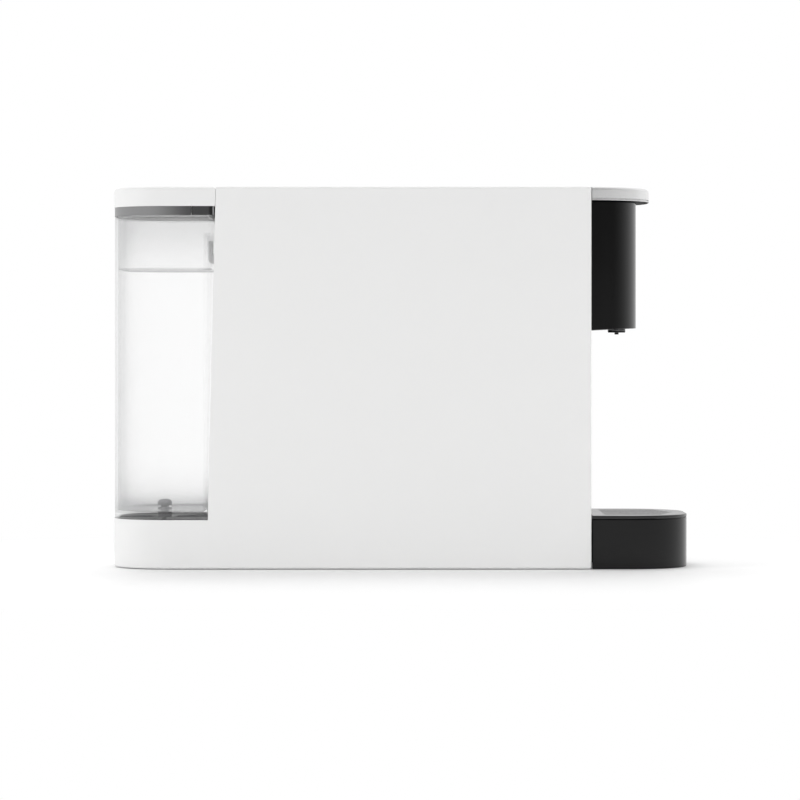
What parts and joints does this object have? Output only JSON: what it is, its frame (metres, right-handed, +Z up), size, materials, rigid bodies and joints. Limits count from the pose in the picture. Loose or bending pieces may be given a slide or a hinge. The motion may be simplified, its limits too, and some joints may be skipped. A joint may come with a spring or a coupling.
{
  "type": "pod coffee machine",
  "caption": "Narrow pod coffee machine with a flat case, rear water tank with lid, hinged brew lever driving a sliding pod cage, spout, slotted cup plate and used-pod drawer.",
  "frame": {"origin": "on the table, under the middle of the machine's length and width", "axes": "+X to the front, where the spout and the cup plate are, +Z up, +Y across the machine, away from the side that the picture shows"},
  "size_m": [0.3918, 0.115, 0.258],
  "materials": {
    "white_gloss": "glossy white moulded plastic",
    "silver": "silver lacquered moulding",
    "black_gloss": "glossy black moulded plastic",
    "black_matte": "fine-grained black plastic",
    "grey_plastic": "satin grey plastic",
    "clear_plastic": "clear polished plastic",
    "rubber": "matte soft rubber",
    "silicone": "milky soft seal",
    "steel": "bright steel",
    "brass": "machined",
    "aluminium": "die cast",
    "circuit_board": "lacquered board",
    "component_blue": "moulded casing"
  },
  "bodies": {
    "machine": {"base_plate": "black_matte", "bin_tunnel": "black_matte", "board_parts": "component_blue", "brew_frame": "black_matte", "brew_head_cover": "black_gloss", "brew_hose": "rubber", "button_board": "circuit_board", "case_rear": "white_gloss", "case_screws": "steel", "case_side_left": "white_gloss", "case_side_right": "white_gloss", "coffee_funnel": "black_matte", "coffee_spout": "black_matte", "control_board": "circuit_board", "flow_meter": "black_matte", "front_panel": "black_gloss", "heater_block": "aluminium", "hinge_brackets": "grey_plastic", "injection_head": "grey_plastic", "injector_seal": "rubber", "inlet_hose": "rubber", "inner_shelf": "black_matte", "lead_gland": "black_matte", "lever_pin": "steel", "pod_deck": "black_matte", "pod_needles": "steel", "pressure_hose": "rubber", "pump_body": "brass", "pump_coil": "black_matte", "pump_mounts": "rubber", "rubber_feet": "rubber", "spigot_seal": "rubber", "spout_collar": "grey_plastic", "suction_hose": "rubber", "tank_bulkhead": "white_gloss", "tank_catch": "grey_plastic", "tank_shelf": "black_matte", "tank_spigot": "grey_plastic", "top_cover": "white_gloss"},
    "lever": {"brew_lever": "silver", "lever_underside": "black_gloss", "sector_left": "grey_plastic", "sector_right": "grey_plastic"},
    "carriage": {"pod_cage": "grey_plastic", "strainer_plate": "steel", "rack_left": "grey_plastic", "rack_right": "grey_plastic"},
    "tank": {"tank_vessel": "clear_plastic", "tank_collar": "grey_plastic", "collar_front": "black_matte", "valve_housing": "grey_plastic"},
    "valve": {"tank_valve": "grey_plastic"},
    "lid": {"tank_lid": "white_gloss", "lid_seal": "silicone"},
    "drawer": {"drip_tray": "black_gloss", "capsule_bin": "black_gloss"},
    "cup_rest": {"cup_plate": "black_gloss"},
    "espresso": {"espresso_button": "black_gloss"},
    "lungo": {"lungo_button": "black_gloss"}
  },
  "joints": [
    {"name": "lever_hinge", "type": "hinge", "parent": "machine", "child": "lever", "pos_m": [0.0595, 0, 0.25355], "axis": [0, -1, 0], "range_deg": [0, 75]},
    {"name": "carriage_slide", "type": "slide", "parent": "machine", "child": "carriage", "axis": [1, 0, 0], "range_m": [0, 0.0212]},
    {"name": "tank_lift", "type": "slide", "parent": "machine", "child": "tank", "axis": [0, 0, 1], "range_m": [0, 0.235]},
    {"name": "lid_lift", "type": "slide", "parent": "tank", "child": "lid", "axis": [0, 0, 1], "range_m": [0, 0.06]},
    {"name": "valve_slide", "type": "slide", "parent": "tank", "child": "valve", "axis": [0, 0, 1], "range_m": [0, 0.003], "stiffness_N_per_m": 150, "springref_m": -0.004},
    {"name": "drawer_slide", "type": "slide", "parent": "machine", "child": "drawer", "axis": [1, 0, 0], "range_m": [0, 0.115]},
    {"name": "plate_lift", "type": "slide", "parent": "drawer", "child": "cup_rest", "axis": [0, 0, 1], "range_m": [0, 0.05]},
    {"name": "espresso_press", "type": "slide", "parent": "machine", "child": "espresso", "axis": [0, 0, -1], "range_m": [0, 0.0015], "stiffness_N_per_m": 400, "springref_m": -0.001},
    {"name": "lungo_press", "type": "slide", "parent": "machine", "child": "lungo", "axis": [0, 0, -1], "range_m": [0, 0.0015], "stiffness_N_per_m": 400, "springref_m": -0.001}
  ],
  "couplings": [
    {"joint": "carriage_slide", "follows": "lever_hinge", "m_per_rad": 0.016}
  ]
}
